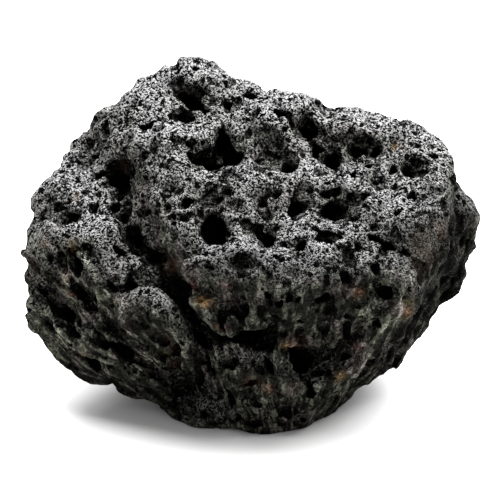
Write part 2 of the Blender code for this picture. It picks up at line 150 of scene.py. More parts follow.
# Hollows of the show side: across, up, width, height, turn in degrees, and depth.
HOLLOWS = [
    # High on the left
    (-13.7, 33.6, 8.8, 3.4, -38, 8), (-12.5, 37.3, 5.8, 4.3, 0, 2), (-5.3, 33.5, 3.0, 2.6, 0, 3),
    (1.0, 36.2, 3.6, 2.2, -40, 3), (-15.4, 29.9, 7.2, 2.4, 0, 3.5), (-24.8, 28.7, 2.6, 2.4, 0, 3),
    (-21.2, 28.7, 2.2, 2.2, 0, 3), (-17.8, 25.5, 1.8, 1.8, 0, 2.5), (-14.0, 24.1, 2.6, 2.8, 0, 3),
    (-10.8, 25.1, 2.2, 2.0, 0, 2.5), (-35.2, 28.4, 2.6, 2.6, 0, 2.5), (-38.1, 28.7, 2.2, 2.2, 0, 2),
    (-39.3, 27.7, 2.0, 1.6, 0, 2), (-28.9, 33.3, 2.4, 2.8, 0, 2), (-31.8, 34.0, 1.6, 1.6, 0, 2),
    (-28.9, 30.1, 2.0, 2.0, 0, 2), (-38.6, 20.5, 9.0, 3.6, 25, 2.5), (-35.4, 17.3, 3.0, 1.8, 0, 2),
    (-45.3, 17.6, 2.0, 1.2, 0, 2), (-30.8, 15.4, 4.8, 7.4, 10, 5), (-25.8, 21.7, 2.4, 2.8, 0, 2.5),
    (-18.8, 43.4, 1.4, 1.2, 0, 1.5), (-13.0, 44.3, 2.4, 1.2, 0, 1.5), (-9.6, 44.1, 2.0, 1.8, 0, 1.5),
    (-17.3, 41.7, 2.0, 1.0, 0, 1.5),
    # The boot-shaped hole, and what runs on from its heel
    (-6.2, 24.6, 3.6, 8.0, -18, 7), (-10.3, 19.9, 7.4, 4.4, 0, 6), (-3.4, 20.5, 7.0, 5.4, 0, 7),
    (2.2, 18.7, 7.2, 2.6, -12, 4), (6.0, 16.6, 2.4, 3.4, 0, 3), (3.6, 23.6, 5.8, 6.0, 0, 1.5),
    # High on the right
    (9.6, 18.1, 4.8, 4.6, 0, 5), (13.3, 27.7, 6.6, 3.8, -45, 6), (9.3, 30.9, 4.6, 1.6, -45, 4),
    (19.0, 20.5, 4.8, 4.3, 0, 5), (15.9, 23.2, 3.2, 1.2, -45, 2.5), (24.3, 22.9, 2.6, 3.9, 0, 3),
    (30.1, 22.4, 4.3, 3.3, 0, 4), (27.0, 25.3, 3.4, 1.1, 0, 2.5), (28.0, 19.0, 2.0, 1.5, 0, 2),
    (34.2, 18.0, 2.5, 3.4, 0, 4), (38.1, 17.3, 3.4, 2.0, -40, 2.5), (41.4, 17.1, 3.0, 1.5, 0, 2),
    (43.9, 21.4, 2.6, 1.2, 0, 1.5), (24.8, 16.4, 2.0, 1.5, 0, 2), (30.8, 14.7, 6.0, 2.3, 15, 3),
    (38.3, 11.6, 3.0, 2.7, 0, 3), (27.2, 9.4, 2.6, 1.2, 0, 2), (34.9, 7.7, 3.0, 2.2, 0, 2.5),
    (28.9, 7.0, 2.0, 1.5, 0, 2),
    # Across the middle
    (11.8, 9.2, 5.8, 4.8, -30, 5), (20.5, 7.5, 4.5, 4.9, 0, 6), (18.0, 12.8, 3.4, 4.2, 0, 2),
    (15.4, 4.3, 2.4, 2.2, 0, 3), (18.6, 0.4, 5.4, 2.4, -50, 5), (29.2, 4.3, 2.6, 2.2, 0, 3),
    (32.1, 0.2, 8.0, 2.8, -15, 4), (22.9, -2.8, 3.4, 5.0, 0, 3), (29.8, -6.2, 3.4, 3.6, 0, 3),
    (-8.0, 1.9, 7.0, 7.0, 0, 9), (-10.1, 6.3, 7.6, 4.8, 0, 2), (-13.3, -1.7, 5.8, 3.2, 30, 3),
    (4.3, 1.0, 5.2, 4.4, 0, 4), (12.2, 0.8, 2.4, 2.0, 0, 2), (25.6, 0.6, 2.2, 1.6, 0, 2),
    (5.8, -2.4, 1.4, 1.4, 0, 2), (6.3, 11.6, 1.4, 4.8, -15, 2), (-1.0, -3.8, 8.4, 6.4, 0, 3),
    (-9.2, -5.5, 1.5, 1.5, 0, 2), (-3.4, 9.9, 3.6, 2.2, 0, 2), (3.4, 9.6, 3.9, 2.4, 0, 2.2),
    (-15.4, 10.1, 2.4, 3.6, 25, 3), (-7.7, 11.1, 1.5, 0.9, 0, 1.5), (-11.8, 10.4, 1.2, 1.2, 0, 1.5),
    (-24.8, 7.7, 1.8, 2.6, 0, 2.5), (-18.1, 7.2, 2.0, 2.0, 0, 2), (-18.1, 5.1, 1.4, 1.4, 0, 2),
    (-14.9, 6.5, 2.0, 2.4, 0, 2.5), (-22.2, 9.9, 1.3, 1.3, 0, 1.5),
    # The left lobe
    (-37.3, 8.6, 2.5, 2.2, 0, 3), (-42.6, 6.0, 5.2, 3.0, 45, 3.5), (-47.0, 9.4, 2.4, 1.7, 0, 2),
    (-44.0, 10.4, 2.6, 1.7, 0, 2), (-30.1, 6.5, 1.6, 2.7, 0, 2.5), (-31.0, -1.4, 3.4, 2.2, 0, 3),
    (-27.4, 1.2, 4.4, 5.6, 20, 6), (-40.4, -5.0, 4.6, 3.0, -40, 4), (-46.2, -3.6, 3.4, 5.6, 25, 3),
    (-28.0, -10.1, 2.7, 4.8, 0, 4), (-33.0, -10.2, 4.6, 2.2, -40, 3),
    (-43.6, -16.2, 6.5, 3.2, -25, 2.5), (-36.9, -28.2, 2.4, 4.2, 20, 3),
    (-29.6, -24.6, 3.6, 2.0, -30, 2.5), (-22.4, -3.2, 3.0, 4.0, 0, 2.5),
    # The front
    (4.3, -12.0, 1.8, 1.6, 0, 2), (11.6, -13.0, 1.7, 1.7, 0, 2), (16.9, -13.0, 4.1, 2.4, 0, 2.5),
    (6.7, -14.5, 2.6, 2.0, 0, 2), (12.0, -18.1, 1.3, 1.3, 0, 2), (-11.0, -22.4, 4.0, 6.6, 20, 5),
    (0.6, -21.2, 8.4, 5.6, 0, 7), (6.0, -23.0, 13.0, 7.0, 0, 3.5), (15.0, -25.4, 15.0, 9.0, 20, 3.5),
    (11.0, -27.4, 6.0, 5.4, 0, 7), (5.5, -18.0, 5.5, 5.0, 0, 2.5), (0.2, -32.8, 4.6, 2.0, 0, 2),
    (30.1, -18.8, 2.8, 2.4, 0, 2.5), (32.5, -11.1, 4.2, 2.4, 0, 2.5), (23.1, -17.1, 1.5, 1.9, 0, 2),
    (43.9, -5.5, 3.4, 4.0, 0, 1.5),
]
# A hollow runs into the rock, and leans this much towards the line of sight.
HOLLOW_LEAN = 0.7
# It is less deep where the surface turns away from the camera, down to a share of its depth.
HOLLOW_FACING = 2.2
LEAST_DEPTH = 0.25
# It is taller where it is seen at a slant, up to this much.
MOST_TALLER = 1.5
# A hollow's deep core is this share of its size. The bowl above it is larger, this deep for its width,
# and a little higher and further left.
CORE_SHARE = 0.8
BOWL_SHARE = 1.2
BOWL_DEPTH = 0.3
BOWL_HIGHER = 0.16
BOWL_LEFT = 0.08

# Crests that are worn pale, drawn on the show side: height, width, and path as across and up.
WORN_CRESTS = [
    # The rim down the right, and the thinner strands beside it
    (2.3, 1.3, [(43.9, 17), (46.3, 11), (44.6, 5), (40.2, -5), (36.9, -10), (35.7, -13.3),
        (34.2, -16.1)]),
    (2.6, 1.2, [(34.2, -16.1), (30.1, -21.7), (27, -24.1), (26, -28.9), (22.9, -33.7), (20.5, -37.3)]),
    (1.2, 0.9, [(35.7, -14.5), (32.5, -20.5), (29.2, -25.5), (26.5, -31.5)]),
    (0.9, 1.0, [(40.5, 13), (42.5, 7), (40.5, 1), (36.5, -7)]),
    # The left lobe's flow ridges
    (2.1, 0.9, [(-49.4, 1.7), (-46.3, -1.2), (-44.8, -4.8), (-44.3, -9.2), (-42.4, -12.8),
        (-39.8, -15.4)]),
    (2.1, 0.9, [(-42.4, -0.7), (-39, -3.1), (-37.6, -6), (-37.1, -8.4), (-34.7, -11.3), (-31.8, -14)]),
    (2.2, 1.0, [(-31.1, -14.5), (-30.1, -17.6), (-28.9, -20.5), (-26.5, -24.1), (-24.1, -27.2),
        (-20.5, -30.6)]),
    (2.0, 0.9, [(-40, -15.7), (-36.1, -19.3), (-33.3, -24.1), (-31.8, -27.7), (-29.9, -30.6),
        (-27.5, -33.7)]),
    (1.8, 0.8, [(-43.4, -17.6), (-39.8, -21.7), (-36.6, -26.5), (-34.2, -30.1)]),
    (1.5, 0.8, [(-49.2, -13.3), (-48.2, -16.9), (-45.8, -21.7), (-42.9, -25.8)]),
    (1.5, 0.8, [(-36, -17), (-32.5, -21.5), (-30, -25.5)]),
    (1.4, 0.8, [(-28, -26), (-26.5, -30), (-23.5, -33.5)]),
    (1.4, 0.8, [(-47.8, 5), (-45, 1.5), (-41.8, -6.4), (-40.6, -11)]),
    (1.3, 0.8, [(-36.5, -1.5), (-33.5, -5), (-31.2, -9.5), (-30.4, -13)]),
    (1.2, 0.8, [(-47.5, -18.5), (-43.5, -23.5), (-40.5, -28)]),
    (1.2, 0.8, [(-25.5, -15), (-24, -19), (-21.5, -23)]),
]
# Other crests and furrows, in the same terms: a furrow's height is below 0.
CRESTS = [
    # The sunken band beside the rim, and the low ridge beyond it
    (-1.2, 1.8, [(48.5, 12), (47.8, 5), (45, -2)]),
    (-2.4, 2.2, [(37, -20), (33.5, -25.5), (29.5, -30.5), (26, -36)]),
    (0.8, 1.0, [(52, 8), (51.5, 0), (48.5, -7), (45, -11.5)]),
    # Furrows between the left lobe's ridges, and the lobe's upper edge
    (-2.0, 1.5, [(-47.6, -3), (-47.2, -9), (-45.6, -14), (-42.5, -19)]),
    (-1.9, 1.3, [(-40.8, -5), (-40.3, -10.5), (-37, -15.5), (-33.2, -19.3)]),
    (-1.6, 1.1, [(-34, -16.5), (-31.8, -21.5), (-29.2, -26.2), (-25.5, -31)]),
    (-1.2, 1.0, [(-41, -19.5), (-38, -24), (-35.6, -28.5)]),
    (1.0, 2.0, [(-50.6, 12), (-52, 5), (-43, 0.5), (-32.5, 0)]),
    # What lies between the left lobe and the nose
    (2.6, 2.4, [(-20.5, -13.5), (-17.5, -18), (-15, -22)]),
    # The nose's edge, and the furrows beside it and under it
    (2.4, 1.2, [(-14.5, -4.1), (-14.7, -9.6), (-14, -13.3), (-10.8, -16.9), (-8.4, -19.8),
        (-6, -21.2)]),
    (2.0, 1.2, [(-6, -21.2), (-2.4, -18.6), (1.2, -16.9), (6, -16.1)]),
    (-1.0, 1.9, [(-19.3, -5), (-18.3, -11), (-16.4, -16), (-12.8, -20.5), (-9.2, -23.5)]),
    (-2.8, 1.9, [(-5.0, -23.2), (0.5, -20.9), (5.5, -20)]),
    # The fold between the lit top and the front
    (0.5, 2.0, [(-15.9, -4), (-12, -7), (-6, -8.5), (0, -6.5), (8.4, -7.5), (19.3, -8.5), (28.9, -9),
        (36, -8.5)]),
    # The keel's left edge, the recess beside it, and the band over it
    (2.4, 1.3, [(-10.1, -25.3), (-7.7, -29.6), (-5.3, -34.9), (-2.9, -39.8), (0, -43.1)]),
    (-3.2, 3.2, [(-16, -30.5), (-13, -34.5), (-9.5, -40)]),
    (0.9, 1.1, [(-7.2, -30.4), (0, -30)]),
    # The terrace behind the nose, and the furrow under the peak's right shoulder
    (1.3, 1.4, [(-10.8, 17.6), (-3.6, 17.6), (2.9, 17.3), (5.3, 15), (7, 11)]),
    (-1.6, 1.5, [(-8.4, 38.6), (-3.6, 37.4), (1.2, 37)]),
]
# What the outline, as the show side is seen, is raised or sunk by: height, width and path, as above.
RIMS = [
    (1.2, 4.0, [(38, 28.5), (43.5, 26), (47, 21.5), (48.3, 15)]),
    (-0.7, 3.0, [(54, 7), (53.8, -3)]),
    (-0.8, 4.0, [(49, -11), (44, -18)]),
    (-1.5, 3.0, [(40, -25), (37, -29), (34, -31)]),
    (-1.4, 3.5, [(30, -36), (24, -39.5), (18, -42)]),
    (1.1, 4.0, [(-10, -44), (-2, -46)]),
    (1.6, 2.6, [(-19.6, -38.5), (-18.6, -42)]),
    (-0.9, 2.5, [(-30, -36), (-25, -38)]),
    (-1.4, 3.5, [(-44, -31), (-47, -28), (-49.5, -24)]),
    (1.1, 3.0, [(-54, -6), (-52.5, -11)]),
    (-1.6, 3.5, [(-55.5, 0), (-55.5, 5)]),
    (-0.8, 3.0, [(-46, 22), (-44.5, 25)]),
    (-0.8, 3.0, [(-24, 42), (-17, 46)]),
    (-0.7, 3.0, [(4, 38.5), (12, 38)]),
    (-1.0, 3.0, [(26, 33.5), (31, 32)]),
]
# How steeply a crest falls off. Crests fade out as the surface turns away from the camera, and rims as
# it turns to face it.
CREST_FALL = 1.4
CREST_FACING = 1.6
RIM_FACING = 1.4

# Lower than this nothing is strewn and all that is worked in fades out, so that the foot's rim stays
# whole.
KEPT_FOOT = 2.5
# Where less than this share of what lies around a place is stone, it is too thin and is worn away.
THIN_REACH = 0.8
THIN_SHARE = 0.3

# The sight lines that tell how open each place is: how many directions, where along them rock is
# looked for, and how far off the surface they start.
SIGHT_LINES = 48
SIGHT_STEPS = (0.7, 1.1, 1.6, 2.3, 3.2, 4.4, 6.0, 8.0)
SIGHT_START = 0.35

# The stone's colours: its ground, the crust's grain with its painted glints, and the skin's two tints.
DARK_STONE = (0.0015, 0.0015, 0.0014, 1)
GRAIN_AND_GLINT = (0.262, 0.262, 0.262, 1)
OLIVE_SKIN = (0.36, 0.37, 0.28, 1)
ROSE_SKIN = (0.38, 0.335, 0.30, 1)
# The sizes of the stone's grain, and the depth of its bumps.
GRIT_SIZE = 0.55
RAGGED_SIZE = 0.9
PORE_SPACING = 1.7
BLOTCH_SIZE = 4.0
STRAND_SIZE = 1.6
STRAND_STRETCH = 5.0
TINT_SIZE = 7.0
STAIN_SPECK_SIZE = 0.8
BUMP_DEPTH = 0.45
# How far up a place faces, from -1 to 1: while the skin gives way to the crust and its painted top light,
# while that painted light comes to its full, and while the skin's painted shade goes from its darkest to
# its lightest.
CRUST_AND_LIGHT_FACING = (-0.1, 0.35)
TOP_LIGHT_FACING = (0.1, 0.7)
SIDE_SHADE_FACING = (-0.6, 0.1)
# The skin's painted shade: how bright it is left beside the crust, and on what faces down.
SKIN_SHADE_SHARE = 0.64
UNDERSIDE_SHADE_SHARE = 0.37
# How much brighter the skin is along the crests, where it is worn, and on how high a crest.
WORN_SHARE = 0.35
WORN_HEIGHTS = (0.5, 2.2)
# Painted shade in the hollows: how open a place is where it starts to be bright and where it is in full,
# on the skin and on the crust, and how far grain makes these limits and the pores' edges ragged.
OPEN_FROM = (0.38, 0.15)
OPEN_TO = (0.92, 0.82)
RAGGED = 0.25
# The widest pores for their spacing, on the skin and on the crust. The pores are painted shade in the
# colour, and dips in the bump.
WIDEST_PORES = (0.2, 0.44)
# The values of each noise between which what it drives goes from one end to the other: the grit's
# flecks on the crust and on the skin, its bumps, the blotches, the strands, the skin's tint, the stains'
# specks and the ragged edges.
CRUST_GRIT = (0.43, 0.55)
SKIN_GRIT = (0.32, 0.68)
BUMP_GRIT = (0.25, 0.75)
BLOTCH_RANGE = (0.42, 0.55)
STRAND_RANGE = (0.43, 0.56)
TINT_RANGE = (0.5, 0.6)
SPECK_RANGE = (0.44, 0.6)
RAGGED_RANGE = (0.3, 0.7)
# What the grit, the blotches and the strands leave of the skin where they are darkest and brightest, and
# the specks of a stain.
SKIN_FLECKS = (0.5, 1.0)
BLOTCH_FLECKS = (0.5, 1.0)
STRAND_FLECKS = (0.38, 1.1)
STAIN_SPECKS = (0.1, 1.0)
# How the pores' sizes are drawn, how soft their edges are, and what they leave of the bumps' height.
PORE_SIZES = (0.35, 0.8)
PORE_EDGE = (-0.03, 0.05)
PORE_BUMP = (0.2, 1.0)
# The power that the flecks' brightness, painted light and shade with it, is raised to, which deepens the
# painted shade.
CONTRAST = 2.0
# The specular level of the brightest flecks on the skin and on the crust, how bright a fleck is that
# has it in full, and the roughness of the darkest and of the brightest.
GLOSS = (0.04, 0.22)
GLOSSY_FROM = 0.5
ROUGHNESS = (0.62, 0.38)

# Mineral stains of the show side, and a patch of painted shade: across, up, width, height, how strong, and
# colour.
RUST = (0.21, 0.11, 0.06)
OCHRE = (0.29, 0.18, 0.075)
ROSE = (0.15, 0.075, 0.06)
UMBER = (0.07, 0.035, 0.022)
OLIVE = (0.06, 0.063, 0.027)
# A dark brown for painted shade on the right band.
PAINTED_SHADE_BROWN = (0.03, 0.022, 0.014)
STAINS = [
    (-10.8, -13.3, 3.4, 2.2, 0.75, OCHRE), (-13.3, -9.6, 1.8, 2.0, 0.6, ROSE),
    (-5.5, -9.6, 1.8, 1.8, 0.5, ROSE), (2.9, -8.2, 2.0, 2.0, 0.5, OLIVE),
    (-18.6, -4.8, 4.0, 3.0, 0.6, UMBER), (25.5, -11.3, 2.4, 2.0, 0.7, RUST),
    (37.3, -15.9, 1.8, 3.4, 0.8, RUST), (37.3, -13.3, 2.0, 1.8, 0.5, OLIVE),
    (25.8, -24.3, 2.0, 2.0, 0.5, ROSE), (21.5, -31.3, 1.9, 1.9, 0.8, OCHRE),
    (10.8, -23.9, 1.8, 1.8, 0.6, ROSE), (8.4, -24.1, 1.8, 1.5, 0.6, OCHRE),
    (11.0, -22.9, 5.0, 3.0, 0.4, UMBER), (4.3, -34.2, 2.4, 1.8, 0.6, RUST),
    (0.0, -32.5, 3.4, 2.4, 0.4, UMBER), (10.1, -34.5, 2.8, 2.4, 0.4, UMBER),
    (-6.9, -19.6, 3.0, 1.4, 0.4, ROSE), (-19.3, -23.6, 2.2, 3.0, 0.4, UMBER),
    (-18.3, -28.2, 1.8, 1.6, 0.6, ROSE), (-20.2, -26.5, 2.0, 2.0, 0.5, OLIVE),
    (-49.6, 0.5, 1.9, 1.9, 0.5, ROSE), (-42.4, 0.0, 1.4, 2.4, 0.7, OCHRE),
    (-43.9, -8.0, 1.7, 2.8, 0.5, ROSE), (-42.7, -12.0, 2.0, 2.0, 0.4, ROSE),
    # The wide dark brown patch on the right band is painted shade.
    (45.3, 3.6, 2.4, 3.8, 0.5, UMBER), (41.0, -1.0, 5.0, 9.0, 0.9, PAINTED_SHADE_BROWN),
    (34.9, 23.6, 2.2, 1.4, 0.3, OCHRE), (-41.7, 11.6, 1.2, 2.0, 0.4, OCHRE),
    (-30.6, 19.3, 2.2, 2.2, 0.4, UMBER), (-40.0, -26.0, 3.0, 2.2, 0.4, UMBER),
]
# Stains and worn crests fade out as the surface turns away from the show side.
SHOWN_GAIN = 4
SHOWN_START = 0.4

# Wide patches of painted shade: where the oval is, its width and height, and by what share its flecks
# and its skin are dimmer.
SHADE_PATCHES = [
    (50.0, 2.0, 13.0, 26.0, 0.5), (44.5, -10.0, 12.0, 13.0, 0.45), (41.0, 1.5, 9.0, 16.0, 0.5),
    (39.5, -22.0, 11.0, 14.0, 0.4), (27.0, -38.0, 14.0, 9.0, 0.4), (-44.0, -17.0, 7.0, 7.0, 0.2),
    (-16.0, -36.5, 14.0, 9.0, 0.5), (-2.0, -4.2, 22.0, 8.5, 0.48), (17.0, -5.0, 15.0, 6.0, 0.35),
    (33.0, 0.0, 13.0, 10.0, 0.38), (22.0, 7.0, 16.0, 9.0, 0.25), (-5.0, -18.0, 14.0, 5.0, 0.2),
]
# How far behind the middle they have faded out, and over what distance they fade.
SHADE_PATCH_END = 20
SHADE_PATCH_FADE = 15

# The studio: half the floor's width in metres, its grey and its roughness, the even light from all
# sides, and the lamp above, with its place and size in metres.
FLOOR_HALF = 3
FLOOR_COLOUR = (0.62, 0.62, 0.62, 1)
FLOOR_ROUGHNESS = 0.9
SKY_COLOUR = (1, 1, 1, 1)
SKY_STRENGTH = 0.8
LAMP_PLACE = (0.16, 0.27, 0.8)
LAMP_AIM = (0, 0, 0.04)
LAMP_SIZE = 1.4
LAMP_WATTS = 78

# The camera: its distance in metres, its sensor in millimetres, the scale of the picture at the rock's
# middle, and how far down the picture is shifted.
CAMERA_DISTANCE = 1.5
SENSOR_WIDTH = 36
IMAGE_WIDTH = 500
PIXELS_PER_METRE = 4150
SHIFT_PIXELS = 5


class Box:
    """The box of voxels that the rock is worked in."""

    def __init__(self, low, high):
        self.low = np.floor((low - MARGIN) / VOXEL) * VOXEL
        self.shape = tuple(np.ceil((high + MARGIN - self.low) / VOXEL).astype(int))

    def along(self, axis):
        return self.low[axis] + VOXEL * np.arange(self.shape[axis])

    def index(self, points):
        return (points - self.low) / VOXEL


def show_point(across, up, near):
    return MIDDLE + across * ACROSS + up * UP + near * NEAR


def show_coordinates(points):
    """Across, up and near of each place, as three arrays."""
    return ((points - MIDDLE) @ np.stack([ACROSS, UP, NEAR], axis=1)).T


def unit(vector):
    return vector / (np.linalg.norm(vector) + 1e-9)


def along_axes(values, matrices):
    """The array with a matrix applied along each of its axes."""
    for axis, matrix in enumerate(matrices):
        values = np.moveaxis(np.tensordot(matrix, values, axes=(1, axis)), 0, axis)
    return np.ascontiguousarray(values, dtype=np.float32)


def blur(values, reach):
    """Gaussian blur with a reach in millimetres."""
    tail = math.ceil(BLUR_TAIL * reach / VOXEL)
    weights = [math.exp(-0.5 * (step * VOXEL / reach) ** 2) for step in range(-tail, tail + 1)]
    for axis in range(3):
        count = values.shape[axis]
        ends = [(0, 0)] * 3
        ends[axis] = (tail, tail)
        padded = np.pad(values, ends, mode="edge")
        values = np.zeros_like(values)
        for first, weight in enumerate(weights):
            part = [slice(None)] * 3
            part[axis] = slice(first, first + count)
            values += np.float32(weight / sum(weights)) * padded[tuple(part)]
    return values


def spline_weights(places, count):
    """The cubic B-spline weight of each lattice point at each place, in lattice steps."""
    distance = np.abs(places[:, None] - np.arange(count)[None, :])
    inner = 2 / 3 - distance**2 + distance**3 / 2
    outer = np.clip(2 - distance, 0, None) ** 3 / 6
    return np.where(distance < 1, inner, outer).astype(np.float32)


def noise(box, wavelength, seed):
    """Smooth noise of about -1 to 1 over the whole box, from a lattice of seeded random values."""
    counts = [int(size * VOXEL / wavelength) + LATTICE_SPARE for size in box.shape]
    lattice = np.random.default_rng(seed).uniform(-1, 1, counts).astype(np.float32)
    matrices = [
        spline_weights(np.arange(size) * VOXEL / wavelength + LATTICE_START, count)
        for size, count in zip(box.shape, counts)
    ]
    return along_axes(lattice, matrices) * NOISE_GAIN


def sample(values, places):
    """The array's values between its voxels, at places given in voxels."""
    top = np.array(values.shape) - 1.001
    places = np.clip(places, 0, top)
    first = places.astype(int)
    part = (places - first).astype(np.float32)
    total = 0
    for corner in range(8):
        step = np.array([corner & 1, corner >> 1 & 1, corner >> 2 & 1])
        at = first + step
        weight = np.where(step, part, 1 - part).prod(axis=1)
        total = total + weight * values[at[:, 0], at[:, 1], at[:, 2]]
    return total


def normals_at(distance, places):
    """Which way the surface faces at each voxel."""
    x, y, z = np.clip(places.astype(int), 1, np.array(distance.shape) - 2).T
    slopes = np.stack([
        distance[x + 1, y, z] - distance[x - 1, y, z],
        distance[x, y + 1, z] - distance[x, y - 1, z],
        distance[x, y, z + 1] - distance[x, y, z - 1],
    ], axis=1)
    return slopes / (np.linalg.norm(slopes, axis=1, keepdims=True) + 1e-6)


def vertex_vectors(mesh, name):
    """A vector for each vertex of the mesh: its place, "co", or its "normal"."""
    values = np.empty(len(mesh.vertices) * 3, np.float32)
    mesh.vertices.foreach_get(name, values)
    return values.reshape(-1, 3)


def solid_distance(node):
    """The box, and the signed distance from the solid at each of its voxels."""
    mesh = node.data
    world = np.array(node.matrix_world)
    points = (vertex_vectors(mesh, "co") @ world[:3, :3].T + world[:3, 3]) / MM
    mesh.calc_loop_triangles()
    triangles = np.empty(len(mesh.loop_triangles) * 3, np.int32)
    mesh.loop_triangles.foreach_get("vertices", triangles)
    points, index = np.unique(np.round(points, 4), axis=0, return_inverse=True)
    triangles = index.reshape(-1)[triangles.reshape(-1, 3)]
    box = Box(points.min(axis=0), points.max(axis=0))
    grid = openvdb.FloatGrid.createLevelSetFromPolygons(
        box.index(points).astype(np.float32),
        triangles=triangles.astype(np.uint32),
        transform=openvdb.createLinearTransform(voxelSize=1.0),
        halfWidth=MARGIN / VOXEL,
    )
    distance = np.zeros(box.shape, np.float32)
    grid.copyToArray(distance)
    return box, distance * VOXEL


def warp_fields(box):
    """Three fields that push places about, so that what is cut through them comes out uneven."""
    fields = []
    for axis in range(3):
        field = 0
        for layer, (wavelength, reach) in enumerate(WARPS):
            seed = WARP_SEED + WARP_SEED_STEP * layer + axis
            field = field + reach * noise(box, wavelength, seed)
        fields.append(field)
    return fields


def cut_ellipsoid(distance, box, warps, centre, axes, lengths):
    """Cuts an uneven ellipsoid, given by its half lengths along its axes. Its centre stays in place."""
    at = tuple(np.clip(np.round(box.index(centre)).astype(int), 0, np.array(box.shape) - 1))
    own_scale = min(1, max(lengths) / WARP_FULL_SIZE)
    reach = max(lengths) + WARP_ROOM
    low = np.maximum(box.index(centre - reach).astype(int), 0)
    high = np.minimum(box.index(centre + reach).astype(int) + 1, box.shape)
    block = tuple(slice(first, last) for first, last in zip(low, high))
    offsets = []
    for axis in range(3):
        places = box.low[axis] + VOXEL * np.arange(low[axis], high[axis]) - centre[axis]
        shape = [1, 1, 1]
        shape[axis] = -1
        offsets.append(places.reshape(shape) + own_scale * (warps[axis][block] - warps[axis][at]))
    total = 0
    for direction, length in zip(axes, lengths):
        along = offsets[0] * direction[0] + offsets[1] * direction[1] + offsets[2] * direction[2]
        total = total + (along / length) ** 2
    hollow = (1 - np.sqrt(total)) * min(lengths)
    distance[block] = np.maximum(distance[block], hollow)


def show_hit(distance, box, across, up):
    """The place where the line of sight at across and up meets the rock."""
    nears = np.arange(SHOW_REACH, -SHOW_REACH, -VOXEL / 2)
    line = show_point(across, up, 0)[None, :] + nears[:, None] * NEAR[None, :]
    inside = sample(distance, box.index(line)) < 0
    return line[np.argmax(inside)]


def cut_hollows(distance, broad, box, warps):
    """Cuts each hollow as a deep core, and above it a shallow bowl that leads down into it."""
    for across, up, width, height, turn, depth in HOLLOWS:
        place = show_hit(distance, box, across, up)
        faces = normals_at(broad, box.index(place)[None, :])[0]
        into = unit(faces + NEAR * HOLLOW_LEAN)
        depth *= np.clip(HOLLOW_FACING * (faces @ NEAR), LEAST_DEPTH, 1)
        angle = math.radians(turn)
        along = ACROSS * math.cos(angle) + UP * math.sin(angle)
        along = unit(along - into * (along @ into))
        axes = (along, np.cross(into, along), into)
        taller = min(1 / max(into @ NEAR, 0.1), MOST_TALLER)
        core = (width / 2 * CORE_SHARE, height / 2 * CORE_SHARE * taller, depth)
        cut_ellipsoid(distance, box, warps, place, axes, core)
        bowl_depth = min(width, height) * BOWL_DEPTH
        bowl = (width / 2 * BOWL_SHARE, height / 2 * BOWL_SHARE * taller, bowl_depth)
        lifted = place + UP * height * BOWL_HIGHER - ACROSS * width * BOWL_LEFT
        cut_ellipsoid(distance, box, warps, lifted, axes, bowl)


def crest_heights(crests, across, up):
    """How far the crests and furrows raise each place, as the show side is seen."""
    heights = np.zeros(across.shape, np.float32)
    for height, width, path in crests:
        nearest = np.full(across.shape, np.inf)
        for (x, y), (next_x, next_y) in zip(path, path[1:]):
            run_x, run_y = next_x - x, next_y - y
            part = ((across - x) * run_x + (up - y) * run_y) / (run_x**2 + run_y**2)
            part = np.clip(part, 0, 1)
            away = np.hypot(across - x - part * run_x, up - y - part * run_y)
            nearest = np.minimum(nearest, away)
        heights += height * np.exp(-((nearest / width) ** CREST_FALL))
    return heights


def raise_crests(distance, broad, box, warps):
    """Raises the crests and sinks the furrows on what faces the camera, and the rims on its outline."""
    ups = np.arange(-SHOW_REACH, SHOW_REACH, VOXEL)
    places = np.meshgrid(box.along(0) - MIDDLE[0], ups, indexing="ij")
    heights = [crest_heights(crests, *places) for crests in (WORN_CRESTS + CRESTS, RIMS)]
    y, z = np.meshgrid(box.along(1) - MIDDLE[1], box.along(2) - MIDDLE[2], indexing="ij")
    up = (y * UP[1] + z * UP[2])[None] + warps[2]
    rows = np.clip((up - ups[0]) / VOXEL, 0, len(ups) - 2)
    columns = np.arange(box.shape[0])[:, None, None] + warps[0] / VOXEL
    columns = np.clip(np.round(columns), 0, box.shape[0] - 1).astype(int)
    first = rows.astype(int)
    part = (rows - first).astype(np.float32)
    crest, rim = (
        each[columns, first] * (1 - part) + each[columns, first + 1] * part for each in heights
    )
    slopes = np.gradient(broad, VOXEL)
    faces = CREST_FACING * sum(slope * direction for slope, direction in zip(slopes, NEAR))
    distance -= crest * np.clip(faces, 0, 1) + rim * np.clip(RIM_FACING - np.abs(faces), 0, 1)


def strew(
    distance, broad, box, warps, seed, *, count, least, most, bias, depth, sink, longer, side_share
):
    """Strews uneven hollows evenly over the surface, long towards where the skin was drawn."""
    draw = np.random.default_rng(seed)
    surface = np.argwhere(np.abs(distance) < VOXEL / 2)
    surface = surface[box.along(2)[surface[:, 2]] > KEPT_FOOT]
    chosen = surface[draw.choice(len(surface), count, replace=False)]
    normals = normals_at(broad, chosen)
    upward = np.clip(UPWARD_GAIN * normals[:, 2], 0, 1)
    kept = draw.random(count) < side_share + (1 - side_share) * upward
    chosen, normals = chosen[kept], normals[kept]
    count = len(chosen)
    radii = least * (most / least) ** (draw.random(count) ** bias)
    sinks = sink + draw.uniform(-SINK_SPREAD, SINK_SPREAD, count)
    spreads = draw.uniform(*LENGTH_SPREAD, (count, 3))
    for place, normal, radius, sunk, spread in zip(chosen, normals, radii, sinks, spreads):
        centre = box.low + VOXEL * place
        drawn = unit(DRAWN_TO - centre)
        steep = 1 - max(normal[2], 0)
        along = unit(drawn - normal * (drawn @ normal))
        stretch = 1 + (longer - 1) * steep * abs(along @ drawn)
        axes = (along, np.cross(normal, along), normal)
        lengths = radius * spread * np.array([stretch, 1 / math.sqrt(stretch), 1.0])
        lengths[2] = radius * depth
        cut_ellipsoid(distance, box, warps, centre - normal * lengths[2] * sunk, axes, lengths)


